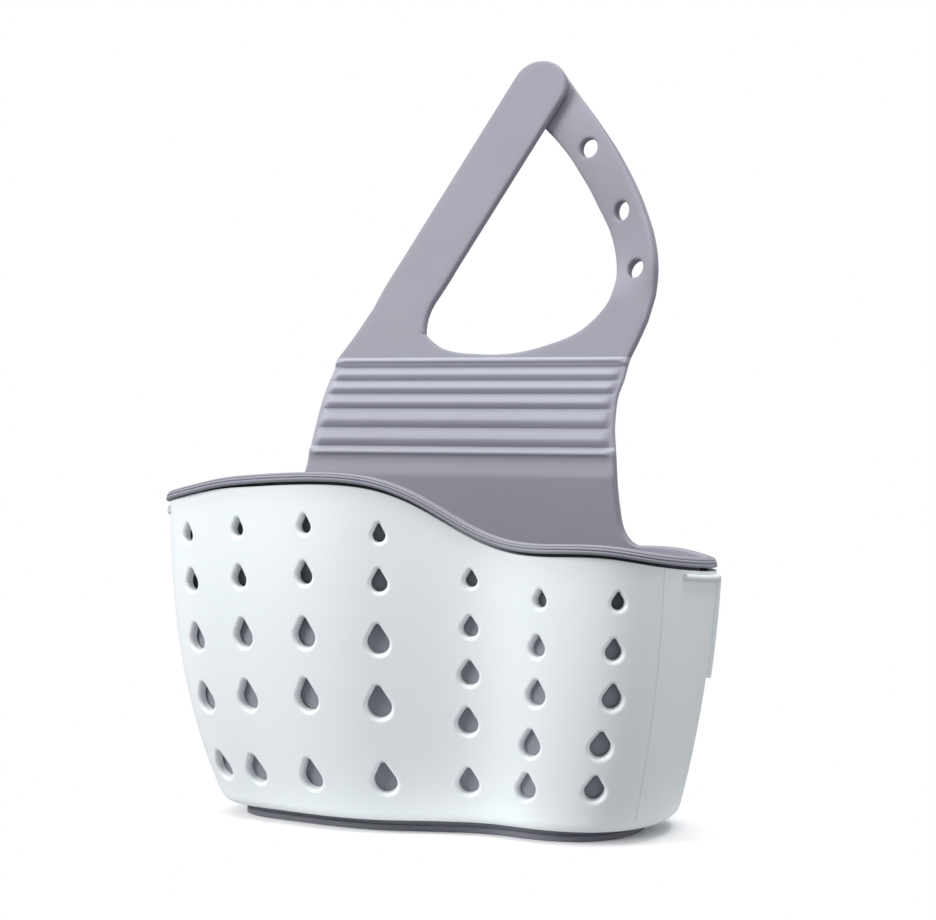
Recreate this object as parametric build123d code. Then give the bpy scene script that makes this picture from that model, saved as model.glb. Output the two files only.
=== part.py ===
"""Sponge holder: hard outer shell round a soft basket with a ribbed, buttoned strap.

Frame: millimetres, +Z up, front towards -Y, +X to the viewer's right.
The origin is on the table, under the middle of the whole object's outline.
"""
import math
import os

from build123d import *

os.makedirs("parts", exist_ok=True)

# Basket plan and height
half_width = 68.0
depth = 61.0
back_y = 15.5
taper_height = 86.0
side_taper = 12.7
front_taper = 12.9
taper_power = 2.2
left_taper_power = 3.0
left_bulge = 0.6
level_heights = (0, 6.0, 12.0, 19.0, 27.0, 36.0, 47.0, 61.0, 92.0)
reach = 300.0

# Hard shell
shell_wall = 2.0
shell_bottom = 3.0
ledge_thickness = 2.0
bottom_round = 2.4
round_steps = 4

# Soft basket
fit_gap = 0.3
basket_wall = 1.8
foot_inset = 5.3
foot_wall = 3.0
seat_gap = 0.2
floor_thickness = 2.0
rim_height = 3.0
rim_overhang = 1.5
rim_layer_share = 0.55
rim_step_share = 0.6
rim_side_overhang = 0.8
rim_shift = -0.5
rim_gap = 0.9
rim_fall_share = 0.065

# Strap in its flat layout, before it leans back
strap_back = 15.0
strap_thickness = 2.5
web_thickness = 1.6
rib_depth = 3.0
rib_round = 1.1
rib_end_margin = 1.2
hinge_gap = 0.3
lean_step = 3.0
hinge_heights = (90.4, 95.0, 99.8, 103.5, 106.9, 110.3)

# Plan outline, from the back left corner round the front to the back right corner
plan_shares = [
    (-0.640, 0.000), (-0.700, 0.006), (-0.772, 0.028), (-0.868, 0.100), (-0.940, 0.205),
    (-0.984, 0.330), (-1.000, 0.465), (-0.998, 0.590), (-0.972, 0.705),
    (-0.905, 0.795), (-0.812, 0.850), (-0.697, 0.892), (-0.572, 0.935),
    (-0.443, 0.975), (-0.318, 0.997), (-0.190, 0.996), (-0.068, 0.967),
    (0.052, 0.931), (0.166, 0.904), (0.272, 0.898), (0.371, 0.918),
    (0.460, 0.950), (0.550, 0.975), (0.642, 0.984), (0.736, 0.972),
    (0.822, 0.930), (0.894, 0.856), (0.946, 0.750), (0.976, 0.617),
    (0.985, 0.475), (0.974, 0.335), (0.932, 0.205), (0.860, 0.098),
    (0.765, 0.026), (0.700, 0.006), (0.640, 0.000),
]


def taper_share(z):
    """Share of the full taper that the wall has at this height."""
    return max(0, 1 - z / taper_height) ** taper_power


def left_gain(z):
    """How much wider the left side is at this height than a mirror of the right side."""
    left_share = max(0, 1 - z / taper_height) ** left_taper_power
    return left_bulge + side_taper * (taper_share(z) - left_share)


def plan_wire(z, side_inset, front_inset, back_inset, gain=0):
    """The plan outline at one height, drawn in by the given insets, its left side wider by gain."""
    points = []
    for x_share, y_share in plan_shares:
        reach_x = half_width - side_inset
        if x_share < 0:
            reach_x = reach_x + gain
        x = x_share * reach_x
        y = back_y - back_inset - y_share * (depth - front_inset - back_inset)
        points.append((x, y, z))
    curve = Spline(*points)
    back = Line(points[-1], points[0])
    return Wire([curve, back])


def tapered_body(inset):
    """The basket's tapered form, drawn in by a wall distance all round."""
    wires = []
    for z in level_heights:
        share = taper_share(z)
        side = side_taper * share + inset
        front = front_taper * share + inset
        wires.append(plan_wire(z, side, front, inset, left_gain(z)))
    return Solid.make_loft(wires, ruled=True)


def plan_prism(z, height, side_inset, front_inset, back_inset, gain=0):
    """An upright block with the plan outline."""
    face = Face(plan_wire(z, side_inset, front_inset, back_inset, gain))
    return extrude(face, amount=height, dir=(0, 0, 1))


# Rim's lower edge at Y = 0 as shares of half_width and heights; it falls a little to the back
rim_line = [
    (-1.1765, 77.1), (-1.0294, 77.5), (-0.8824, 77.2), (-0.7059, 78.1), (-0.5294, 79.0),
    (-0.3529, 79.5), (-0.2059, 79.4), (-0.0882, 78.35), (0.0294, 75.5), (0.1397, 71.4),
    (0.2426, 67.65), (0.3529, 65.1), (0.4706, 64.1), (0.6176, 64.1), (0.7647, 63.7),
    (0.8824, 62.4), (1.0294, 60.7), (1.1765, 57.6),
]


def below_rim_line(rise):
    """Everything under the rim line, lifted by the given rise."""
    points = [(x_share * half_width, 0, z + rise) for x_share, z in rim_line]
    top = Spline(*points)
    low_left = (points[0][0], 0, -reach)
    low_right = (points[-1][0], 0, -reach)
    side_a = Line(points[-1], low_right)
    base = Line(low_right, low_left)
    side_b = Line(low_left, points[0])
    face = Face(Wire([top, side_a, base, side_b]))
    return extrude(face, amount=reach, dir=(0, 1, -rim_fall_share), both=True)


def slab(z_low, z_high):
    """A wide level slab between two heights."""
    return Pos(0, 0, (z_low + z_high) / 2) * Box(reach, reach, z_high - z_low)


def rounded_body():
    """The shell's outer form, with its bottom edge rounded in."""
    wires = []
    for step in range(round_steps + 1):
        angle = math.radians(90 - 90 * step / round_steps)
        z = shell_bottom + bottom_round * (1 - math.sin(angle))
        inset = bottom_round * (1 - math.cos(angle))
        share = taper_share(z)
        side = side_taper * share + inset
        front = front_taper * share + inset
        wires.append(plan_wire(z, side, front, inset, left_gain(z)))
    for z in level_heights:
        if z > 2 * shell_bottom:
            share = taper_share(z)
            wires.append(plan_wire(z, side_taper * share, front_taper * share, 0, left_gain(z)))
    return Solid.make_loft(wires, ruled=True)


# Outer shell
outer_form = rounded_body()
shell_inner = tapered_body(shell_wall)
shell_top = below_rim_line(-rim_gap)
ledge_top = shell_bottom + ledge_thickness
shell = (outer_form & shell_top) - (shell_inner & slab(ledge_top, reach))
foot_side = side_taper * taper_share(shell_bottom) + foot_inset
foot_front = front_taper * taper_share(shell_bottom) + foot_inset
opening_cut = plan_prism(
    0, ledge_top, foot_side - fit_gap, foot_front - fit_gap, foot_inset - fit_gap
)
shell = shell - opening_cut

# Raised bead frame round each back corner, just under the rim
bead_proud = 1.0
bead_width = 1.7
bead_sink = 1.0
post_size = bead_proud + bead_sink
bead_front_y = -29.5
bead_post_y = -6.0
bead_tops = {-1: 77.0, 1: 61.0}
bead_drop = 24.4
bead_x_share = 0.75
bar_length = bead_post_y + bead_width - bead_front_y
bar_middle = bead_front_y + bar_length / 2
post_shares = {-1: 0.993, 1: 0.978}
bead_frames = []
for side, top_z in bead_tops.items():
    out = side_taper * taper_share(top_z) - bead_proud
    sunk = out + bead_proud + bead_sink
    bar_z = top_z - bead_width
    gain = left_gain(top_z)
    bar_form = plan_prism(bar_z, bead_width, out, out, 0, gain)
    bar_core = plan_prism(bar_z, bead_width, sunk, sunk, bead_sink, gain)
    bar_box = Box(bead_x_share * half_width, bar_length, 4 * bead_width)
    bar_box = Pos(side * half_width, bar_middle, top_z) * bar_box
    bead_frames.append((bar_form - bar_core) & bar_box)
    low_z = top_z - bead_drop
    top_x = half_width - side_taper * taper_share(top_z)
    low_x = half_width - side_taper * taper_share(low_z)
    if side < 0:
        top_x = top_x + gain
        low_x = low_x + left_gain(low_z)
    top_x = post_shares[side] * top_x
    low_x = post_shares[side] * low_x
    post_lean = math.degrees(math.atan((top_x - low_x) / bead_drop))
    post_x = side * ((top_x + low_x) / 2 + bead_proud - post_size / 2)
    post_y = bead_post_y + bead_width / 2
    post = Rot(0, side * post_lean, 0) * Box(post_size, bead_width, bead_drop)
    bead_frames.append(Pos(post_x, post_y, top_z - bead_drop / 2) * post)

# Fine upright ridge between the pierced front and the plain right side
ridge_proud = 0.35
ridge_sink = 0.8
ridge_width = 0.7
ridge_x_share = 0.894
ridge_y_share = 0.856
ridge_steps = 8
ridge_low = shell_bottom + 2 * bottom_round
ridge_high = bead_tops[1]
ridge_top_point = (ridge_x_share * half_width, back_y - ridge_y_share * depth)
ridge_run_x = ridge_x_share * side_taper
ridge_run_y = ridge_y_share * front_taper
ridge_run = math.hypot(ridge_run_x, ridge_run_y)
ridge_outer = []
ridge_inner = []
for step in range(ridge_steps + 1):
    z = ridge_low + (ridge_high - ridge_low) * step / ridge_steps
    drawn_in = ridge_run * taper_share(z)
    ridge_outer.append((-drawn_in + ridge_proud, z))
    ridge_inner.append((-drawn_in - ridge_sink, z))
ridge_loop = ridge_outer + ridge_inner[::-1]
ridge_turn = math.degrees(math.atan2(-ridge_run_y, ridge_run_x))
ridge_face = make_face(Plane.XZ * Polyline(*ridge_loop, close=True))
ridge = extrude(ridge_face, amount=ridge_width / 2, both=True)
ridge = Pos(ridge_top_point[0], ridge_top_point[1], 0) * Rot(0, 0, ridge_turn) * ridge
shell = shell + bead_frames + [ridge]

# Drop-shaped holes: columns of x as a share of half_width, height, width and length
drop_columns = [
    [(-0.8588, 70.1, 3.0, 4.2), (-0.8456, 58.7, 3.9, 5.3), (-0.8368, 44.8, 4.9, 6.6),
     (-0.8176, 30.0, 5.4, 7.2), (-0.7750, 13.2, 5.3, 7.1)],
    [(-0.6265, 72.1, 3.0, 4.2), (-0.6235, 60.3, 3.9, 5.3), (-0.6176, 46.7, 5.2, 7.0),
     (-0.6191, 31.6, 5.5, 7.5), (-0.6191, 13.2, 5.5, 7.4)],
    [(-0.3412, 73.4, 3.1, 4.4), (-0.3456, 61.9, 4.0, 5.4), (-0.3544, 47.8, 5.4, 7.3),
     (-0.3618, 32.9, 5.8, 8.0), (-0.3765, 13.5, 5.7, 7.9)],
    [(-0.0735, 71.6, 3.1, 4.4), (-0.0765, 60.5, 3.9, 5.4), (-0.0868, 46.7, 5.4, 7.2),
     (-0.0956, 31.8, 5.9, 8.0), (-0.0971, 13.5, 5.7, 7.8)],
    [(0.2324, 61.2, 3.0, 4.0), (0.2250, 50.0, 3.8, 4.9), (0.2147, 39.1, 4.6, 5.9),
     (0.1985, 27.7, 5.0, 6.5), (0.1868, 13.3, 4.9, 6.5)],
    [(0.4971, 57.4, 3.1, 4.1), (0.4794, 46.5, 3.9, 5.1), (0.4676, 35.6, 4.8, 6.2),
     (0.4353, 23.7, 5.2, 6.7), (0.4074, 13.3, 5.1, 6.6)],
    [(0.7691, 57.3, 3.2, 4.2), (0.7485, 46.2, 4.0, 5.2), (0.7368, 35.4, 4.8, 6.2),
     (0.6882, 24.1, 5.2, 6.6), (0.6559, 13.8, 5.0, 6.5)],
]
tip_share = 0.3
edge_soft = 0.9
edge_profile_shares = [(-1.0, 0.0), (-0.4, 0.2), (0.12, 1.0)]


def drop_face(width, length, grow):
    """A drop with its point up, grown by an even margin."""
    round_size = width / 2 + grow
    tip_size = tip_share * width / 2 + grow
    low = -length / 2 + width / 2
    high = length / 2 - tip_share * width / 2
    reach_up = high - low
    lean = (round_size - tip_size) / reach_up
    side = math.sqrt(1 - lean * lean)
    low_right = (round_size * side, low + round_size * lean)
    low_left = (-round_size * side, low + round_size * lean)
    high_right = (tip_size * side, high + tip_size * lean)
    high_left = (-tip_size * side, high + tip_size * lean)
    bottom = ThreePointArc(low_left, (0, low - round_size), low_right)
    right = Line(low_right, high_right)
    tip = ThreePointArc(high_right, (0, high + tip_size), high_left)
    left = Line(high_left, low_left)
    return Wire([bottom, right, tip, left])


def surface_frame(x, z):
    """The point and outward direction of the shell's front face at x and z."""
    ray = Axis((x, -reach, z), (0, 1, 0))
    hits = outer_form.find_intersection_points(ray)
    point, normal = min(hits, key=lambda hit: hit[0].Y)
    if normal.Y > 0:
        normal = normal * -1
    return point, normal


drop_cutters = []
for column in drop_columns:
    for x_share, z, width, length in column:
        point, normal = surface_frame(x_share * half_width, z)
        across = Vector(-normal.Y, normal.X, 0).normalized()
        frame = Plane(origin=point, x_dir=across, z_dir=normal)
        wires = []
        inner_wire = drop_face(width, length, 0).moved(Location((0, 0, -shell_wall - edge_soft)))
        wires.append(frame.from_local_coords(inner_wire))
        for depth_share, grow_share in edge_profile_shares:
            wire = drop_face(width, length, grow_share * edge_soft)
            wire = wire.moved(Location((0, 0, depth_share * edge_soft)))
            wires.append(frame.from_local_coords(wire))
        drop_cutters.append(Solid.make_loft(wires, ruled=True))
outer_shell = shell - drop_cutters

# Soft basket: tub, floor with drain holes, foot ring and rim
tub_outer = tapered_body(shell_wall + fit_gap)
tub_inner = tapered_body(shell_wall + fit_gap + basket_wall)
tub_bottom = ledge_top + seat_gap
floor_top = tub_bottom + floor_thickness
rim_top = below_rim_line(rim_height)
tub = tub_outer & slab(tub_bottom, reach)
tub = tub - (tub_inner & slab(floor_top, reach))
drain_size = 2.5
drain_pitch_x = 12.0
drain_pitch_y = 9.5
drain_middle_y = -8.5
drains = []
for column_index in range(-3, 4):
    for row_index in range(-1, 2):
        drain_x = column_index * drain_pitch_x
        drain_y = drain_middle_y + row_index * drain_pitch_y
        drains.append(Pos(drain_x, drain_y, floor_top) * Cylinder(drain_size, 3 * floor_thickness))
tub = tub - drains
rim_plan_low = taper_height / 2
rim_lower = plan_prism(rim_plan_low, taper_height, -rim_side_overhang, -rim_overhang, 0)
rim_step = rim_overhang * rim_step_share
rim_side_step = rim_side_overhang * rim_step_share
rim_upper = plan_prism(rim_plan_low, taper_height, -rim_side_step, -rim_step, 0)
rim_lip = below_rim_line(rim_height * rim_layer_share)
rim_block = Pos(rim_shift, 0, 0) * ((rim_lower & rim_lip) + rim_upper)
rim_block = rim_block - tub_inner - below_rim_line(0)
basket = (tub + rim_block) & rim_top
foot_height = tub_bottom + floor_thickness / 2
foot_block = plan_prism(0, foot_height, foot_side, foot_front, foot_inset)
foot_hollow = plan_prism(
    0, foot_height, foot_side + foot_wall, foot_front + foot_wall, foot_inset + foot_wall
)
foot_ring = foot_block - foot_hollow
basket = basket + foot_ring

# Strap outline, drawn flat: the left and right edge at each hinge height
strap_lefts_shares = (-0.7074, -0.6912, -0.6765, -0.6618, -0.6441, -0.6250)
strap_lefts = [share * half_width for share in strap_lefts_shares]
strap_rights_shares = (0.5147, 0.5103, 0.5132, 0.5206, 0.5368, 0.5471)
strap_rights = [share * half_width for share in strap_rights_shares]
left_flare_shares = [(-0.7191, 85.2), (-0.7382, 81.8), (-0.8029, 79.0)]
left_flare_points = [(share * half_width, height) for share, height in left_flare_shares]
right_flare_shares = [(0.6618, 65.6), (0.5868, 66.8), (0.5544, 69.2), (0.5338, 74.2), (0.5221, 81.0)]
right_flare_points = [(share * half_width, height) for share, height in right_flare_shares]
panel_foot = 60.0
panel_seat = 1.0
panel_thick_top = 83.0
panel_thin_foot = 87.0
edge_line_height = 0.9
edge_line_proud = 0.4
edge_line_drop = 2.4
edge_line_margin = 2.4


def flat_plate(edges, y_front, y_back):
    """A plate cut from an outline drawn in the strap's flat layout."""
    face = Face(Wire(edges)).moved(Location((0, y_front, 0)))
    return extrude(face, amount=y_back - y_front, dir=(0, 1, 0))


def at(point):
    """A flat outline point placed in the upright plane."""
    return (point[0], 0, point[1])


def closed_lines(points):
    """Straight edges round a list of flat outline points."""
    count = len(points)
    return [Line(at(points[i]), at(points[(i + 1) % count])) for i in range(count)]


def leaned(shape, hinge_count):
    """The shape leaned back about the first few fold hinges."""
    for height in reversed(hinge_heights[:hinge_count]):
        hinge = Axis((0, strap_back, height), (1, 0, 0))
        shape = shape.rotate(hinge, -lean_step)
    return shape


strap_front = strap_back - strap_thickness
web_front = strap_back - web_thickness
rib_front = strap_back - rib_depth
half_gap = hinge_gap / 2

# Back panel, part of the soft basket: its front runs on from the tub's inner face
panel_top = hinge_heights[0] - half_gap
panel_front = back_y - shell_wall - fit_gap - basket_wall
left_flare = Spline(*[at(point) for point in [(strap_lefts[0], panel_top)] + left_flare_points])
right_flare = Spline(*[at(point) for point in right_flare_points + [(strap_rights[0], panel_top)]])
foot_left = (left_flare_points[-1][0], panel_foot)
foot_right = (right_flare_points[0][0], panel_foot)
panel_edges = [
    left_flare,
    Line(left_flare @ 1, at(foot_left)),
    Line(at(foot_left), at(foot_right)),
    Line(at(foot_right), right_flare @ 0),
    right_flare,
    Line(right_flare @ 1, left_flare @ 0),
]
panel_profile = Polyline(
    (0, strap_back, 0),
    (0, panel_front, 0),
    (0, panel_front, panel_thick_top),
    (0, strap_front, panel_thin_foot),
    (0, strap_front, 2 * panel_top),
    (0, strap_back, 2 * panel_top),
    close=True,
)
panel_band = extrude(Face(Wire(panel_profile.edges())), amount=reach, dir=(1, 0, 0), both=True)
panel = flat_plate(panel_edges, panel_front, strap_back) & panel_band
panel = panel - below_rim_line(rim_height - panel_seat)
line_width = strap_rights[0] - strap_lefts[0] - 2 * edge_line_margin
line_middle = (strap_rights[0] + strap_lefts[0]) / 2
panel_line = Pos(line_middle, strap_front, panel_top - edge_line_drop)
panel_line = panel_line * Box(line_width, 2 * edge_line_proud, edge_line_height)
inner_basket = basket + panel + panel_line

# Five fold ribs between the six hinge lines
fold_ribs = []
for index in range(len(hinge_heights) - 1):
    low = hinge_heights[index] + half_gap
    high = hinge_heights[index + 1] - half_gap
    corners = [
        (strap_lefts[index], low),
        (strap_rights[index], low),
        (strap_rights[index + 1], high),
        (strap_lefts[index + 1], high),
    ]
    web = flat_plate(closed_lines(corners), web_front, strap_back)
    rib_left = strap_lefts[index + 1] + rib_end_margin
    rib_right = min(strap_rights[index], strap_rights[index + 1]) - rib_end_margin
    rib_box = Pos((rib_left + rib_right) / 2, (rib_front + strap_back) / 2, (low + high) / 2)
    rib_box = rib_box * Box(rib_right - rib_left, rib_depth, high - low)
    front_edges = rib_box.edges().filter_by(Axis.X).group_by(Axis.Y)[0]
    rib_box = fillet(front_edges, rib_round)
    fold_ribs.append(leaned(web + rib_box, index + 1))

# Yoke: the top of the panel, where the two arms start round the window
button_root_left = (-0.4500 * half_width, 132.3)
button_root_right = (-0.2529 * half_width, 125.5)
hole_root_left = (0.4544 * half_width, 127.2)
hole_root_right = (0.6132 * half_width, 127.2)
yoke_low = hinge_heights[-1] + half_gap
yoke_low_left = (strap_lefts[-1], yoke_low)
yoke_low_right = (strap_rights[-1], yoke_low)
yoke_side_left = (-0.5706 * half_width, 118.0)
yoke_side_right = (0.5868 * half_width, 118.5)
window_shares = [
    (-0.2544, 120.6), (-0.2000, 116.5), (-0.0588, 114.5), (0.1029, 114.4),
    (0.2574, 117.0), (0.3824, 121.6),
]
window_points = [(share * half_width, height) for share, height in window_shares]
window_curve = Spline(
    *[at(point) for point in [button_root_right] + window_points + [hole_root_left]]
)
outer_left = Spline(at(yoke_low_left), at(yoke_side_left), at(button_root_left))
outer_right = Spline(at(hole_root_right), at(yoke_side_right), at(yoke_low_right))
yoke_edges = [
    outer_left,
    Line(at(button_root_left), at(button_root_right)),
    window_curve,
    Line(at(hole_root_left), at(hole_root_right)),
    outer_right,
    Line(at(yoke_low_right), at(yoke_low_left)),
]
yoke = flat_plate(yoke_edges, strap_front, strap_back)
yoke_line_width = strap_rights[-1] - strap_lefts[-1] - 2 * edge_line_margin
yoke_line_middle = (strap_rights[-1] + strap_lefts[-1]) / 2
yoke_line = Pos(yoke_line_middle, strap_front, yoke_low + 2 * edge_line_height)
yoke_line = yoke_line * Box(yoke_line_width, 2 * edge_line_proud, edge_line_height)
strap_yoke = leaned(yoke + yoke_line, len(hinge_heights))

# Left arm with the button on its back
stud_x = 0.0941 * half_width
stud_height = 187.6
arm_half = 7.5
button_root = (
    (button_root_left[0] + button_root_right[0]) / 2,
    (button_root_left[1] + button_root_right[1]) / 2,
)
run_x = stud_x - button_root[0]
run_up = stud_height - button_root[1]
run = math.hypot(run_x, run_up)
along = (run_x / run, run_up / run)
across = (along[1], -along[0])


def beside(point, forward, sideways):
    """A flat point moved along and across the left arm."""
    x = point[0] + forward * along[0] + sideways * across[0]
    height = point[1] + forward * along[1] + sideways * across[1]
    return (x, height)


arm_low_left = beside(button_root, hinge_gap, -arm_half)
arm_low_right = beside(button_root, hinge_gap, arm_half)
arm_high_left = beside((stud_x, stud_height), 0, -arm_half)
arm_high_right = beside((stud_x, stud_height), 0, arm_half)
arm_tip = beside((stud_x, stud_height), arm_half, 0)
arm_edges = [
    Line(at(arm_low_left), at(arm_high_left)),
    ThreePointArc(at(arm_high_left), at(arm_tip), at(arm_high_right)),
    Line(at(arm_high_right), at(arm_low_right)),
    Line(at(arm_low_right), at(arm_low_left)),
]
arm_round = 0.7
button_plate = flat_plate(arm_edges, strap_front, strap_back)
button_rims = button_plate.edges().filter_by(lambda e: e.length > 2 * arm_half)
button_rims = button_rims.filter_by(Axis.Y, reverse=True)
button_plate = fillet(button_rims, arm_round)
button_arm = leaned(button_plate, len(hinge_heights))

# Right arm with four holes. Stations up the arm give its outer edge and its inner edge, each as
# a share of half_width and a share of the rise from the root to the stud, then how far the
# outer edge twists forward and how far the arm steps back.
arm_stations = [
    (0.6132, 0.0050, 0.4544, 0.0050, 0.00, 0.00), (0.6176, 0.0315, 0.4632, 0.0315, 0.00, 0.00),
    (0.6220, 0.0564, 0.4721, 0.0694, 0.55, 0.11), (0.6235, 0.1012, 0.4794, 0.1091, 1.70, 0.27),
    (0.6192, 0.1597, 0.4808, 0.1433, 3.10, 0.50), (0.6090, 0.2182, 0.4762, 0.1874, 3.80, 0.87),
    (0.5931, 0.2835, 0.4658, 0.2397, 4.10, 1.37), (0.5712, 0.3540, 0.4479, 0.3000, 4.10, 1.97),
    (0.5508, 0.4082, 0.4301, 0.3468, 3.95, 2.36), (0.5296, 0.4644, 0.4072, 0.3948, 3.70, 2.59),
    (0.5053, 0.5226, 0.3800, 0.4460, 3.40, 2.73), (0.4761, 0.5852, 0.3504, 0.5025, 3.05, 2.80),
    (0.4472, 0.6435, 0.3204, 0.5569, 2.70, 2.80), (0.4127, 0.7100, 0.2843, 0.6145, 2.30, 2.80),
    (0.3737, 0.7764, 0.2468, 0.6739, 1.85, 2.80), (0.3353, 0.8401, 0.2073, 0.7261, 1.30, 2.80),
    (0.2901, 0.9095, 0.1643, 0.7776, 0.65, 2.80), (0.2441, 0.9735, 0.1206, 0.8245, 0.00, 2.80),
    (0.2029, 1.0265, 0.0721, 0.8758, 0.00, 2.80), (0.1632, 1.0778, 0.0250, 0.9222, 0.00, 2.80),
]
hole_stations = (4, 9, 14, 19)
hole_size = 2.5
tip_size = 6.65
twist_shares = (0.344, -0.902, -0.262)
arm_middle = (strap_front + strap_back) / 2
outer_points = []
inner_points = []
arm_rise = stud_height - hole_root_left[1]
for outer_share, outer_rise, inner_share, inner_rise, twist, step_back in arm_stations:
    forward = Vector(*twist_shares) * twist
    outer_height = hole_root_left[1] + outer_rise * arm_rise
    inner_height = hole_root_left[1] + inner_rise * arm_rise
    middle_y = arm_middle + step_back
    outer_points.append(Vector(outer_share * half_width, middle_y, outer_height) + forward)
    inner_points.append(Vector(inner_share * half_width, middle_y, inner_height) - forward)
middles = [(outer + inner) * 0.5 for outer, inner in zip(outer_points, inner_points)]
arm_wires = []
arm_normals = []
for index, middle in enumerate(middles):
    before = middles[max(index - 1, 0)]
    after = middles[min(index + 1, len(middles) - 1)]
    across_arm = outer_points[index] - inner_points[index]
    normal = across_arm.cross(after - before).normalized()
    arm_normals.append(normal)
    raised = normal * (strap_thickness / 2)
    section = Polyline(
        outer_points[index] + raised,
        inner_points[index] + raised,
        inner_points[index] - raised,
        outer_points[index] - raised,
        close=True,
    )
    arm_wires.append(Wire(section.edges()))
hole_plate = Solid.make_loft(arm_wires, ruled=True)
tip_disc = Plane(origin=middles[-1], z_dir=arm_normals[-1]) * Cylinder(tip_size, strap_thickness)
hole_plate = hole_plate + tip_disc
for index in hole_stations:
    bore = Plane(origin=middles[index], z_dir=arm_normals[index])
    hole_plate = hole_plate - bore * Cylinder(hole_size, 3 * strap_thickness)
hole_arm = leaned(hole_plate, len(hinge_heights))

# Button stud: stem through the top hole and a head behind it
stem_size = 1.8
head_size = 2.2
head_depth = 1.8
head_round = 0.7
stem_length = strap_thickness + 2 * hinge_gap
stem = Pos(stud_x, strap_back + stem_length / 2, stud_height) * Rot(90, 0, 0)
stem = stem * Cylinder(stem_size, stem_length)
head = Pos(stud_x, strap_back + stem_length + head_depth / 2, stud_height) * Rot(90, 0, 0)
head = head * Cylinder(head_size, head_depth)
head = fillet(head.edges().group_by(Axis.Y)[-1], head_round)
snap_button = leaned(stem + head, len(hinge_heights))

pieces = {
    "outer_shell": outer_shell,
    "inner_basket": inner_basket,
    "strap_yoke": strap_yoke,
    "button_arm": button_arm,
    "hole_arm": hole_arm,
    "snap_button": snap_button,
}
for index, rib in enumerate(fold_ribs):
    pieces["fold_rib_" + str(index + 1)] = rib
for name, piece in pieces.items():
    export_step(piece, os.path.join("parts", name + ".step"))
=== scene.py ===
import math

import bmesh
import bpy
import numpy as np
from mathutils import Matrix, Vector
from mathutils.geometry import delaunay_2d_cdt


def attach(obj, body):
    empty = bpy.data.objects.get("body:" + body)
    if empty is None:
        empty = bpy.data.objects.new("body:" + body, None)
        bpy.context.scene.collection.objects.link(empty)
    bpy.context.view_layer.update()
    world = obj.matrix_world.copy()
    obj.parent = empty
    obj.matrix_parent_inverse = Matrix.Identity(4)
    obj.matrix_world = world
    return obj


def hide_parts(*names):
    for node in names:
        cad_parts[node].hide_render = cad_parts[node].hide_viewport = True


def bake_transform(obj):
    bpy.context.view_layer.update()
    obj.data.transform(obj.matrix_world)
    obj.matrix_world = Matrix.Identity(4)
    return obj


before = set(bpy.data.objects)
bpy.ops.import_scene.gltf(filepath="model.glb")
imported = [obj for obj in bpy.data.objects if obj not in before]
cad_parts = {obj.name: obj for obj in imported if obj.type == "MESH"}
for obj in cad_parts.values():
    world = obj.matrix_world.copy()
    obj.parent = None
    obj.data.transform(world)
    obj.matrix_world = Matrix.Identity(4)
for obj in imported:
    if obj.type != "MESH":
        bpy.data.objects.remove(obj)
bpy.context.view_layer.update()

MM = 0.001

# Sizes shared with the solids, in millimetres
HALF_WIDTH = 68.0
DEPTH = 61.0
BACK_Y = 15.5
TAPER_HEIGHT = 86.0
SIDE_TAPER = 12.7
FRONT_TAPER = 12.9
TAPER_POWER = 2.2
LEFT_POWER = 3.0
SHELL_BOTTOM = 3.0
BOTTOM_ROUND = 2.4
SHELL_WALL = 2.0
LEDGE = 2.0
FIT_GAP = 0.3
SEAT_GAP = 0.2
BASKET_WALL = 1.8
FLOOR_THICKNESS = 2.0
FOOT_INSET = 5.3
FOOT_WALL = 3.0
DRAIN_RADIUS = 2.5
RIM_FALL = 0.065
STRAP_BACK = 15.0
STRAP_THICKNESS = 2.5
WEB_THICKNESS = 1.6
HINGES = [90.4, 95.0, 99.8, 103.5, 106.9, 110.3]
LEAN_STEP = math.radians(3.0)
STUD = (6.4, 187.6)
TIP_RADIUS = 7.5
BORE_RADIUS = 2.5

# Places worked out from them
TUB_OUT = SHELL_WALL + FIT_GAP
TUB_IN = TUB_OUT + BASKET_WALL
TUB_BOTTOM = SHELL_BOTTOM + LEDGE + SEAT_GAP
FLOOR_TOP = TUB_BOTTOM + FLOOR_THICKNESS
STRAP_FRONT = STRAP_BACK - STRAP_THICKNESS
WEB_FRONT = STRAP_BACK - WEB_THICKNESS

# Sizes of the looks alone. LEFT_BULGE makes the skin 0.2 fuller on the left than the solids.
LEFT_BULGE = 0.8
RIM_GAP = 0.75
LEFT_GAP_SHARE = 0.4
LEFT_GAP_X = -58.0
LEFT_GAP_RUN = 25.0
RIM_LIFT = 0.95
RIM_DROOP = 2.3
DROOP_X = -43.0
DROOP_RUN = 22.0
DROOP_LIMIT = 25.0
FOLD_START = 88.6
FOLD_END = 112.6

# Plan outline in shares of half width and depth, from back left round the front to back right
PLAN = [
    (-0.640, 0.000), (-0.700, 0.006), (-0.772, 0.028), (-0.868, 0.100), (-0.940, 0.205),
    (-0.984, 0.330), (-1.000, 0.465), (-0.998, 0.590), (-0.972, 0.705),
    (-0.905, 0.795), (-0.812, 0.850), (-0.697, 0.892), (-0.572, 0.935),
    (-0.443, 0.975), (-0.318, 0.997), (-0.190, 0.996), (-0.068, 0.967),
    (0.052, 0.931), (0.166, 0.904), (0.272, 0.898), (0.371, 0.918),
    (0.460, 0.950), (0.550, 0.975), (0.642, 0.984), (0.736, 0.972),
    (0.822, 0.930), (0.894, 0.856), (0.946, 0.750), (0.976, 0.617),
    (0.985, 0.475), (0.974, 0.335), (0.932, 0.205), (0.860, 0.098),
    (0.765, 0.026), (0.700, 0.006), (0.640, 0.000),
]
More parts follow.
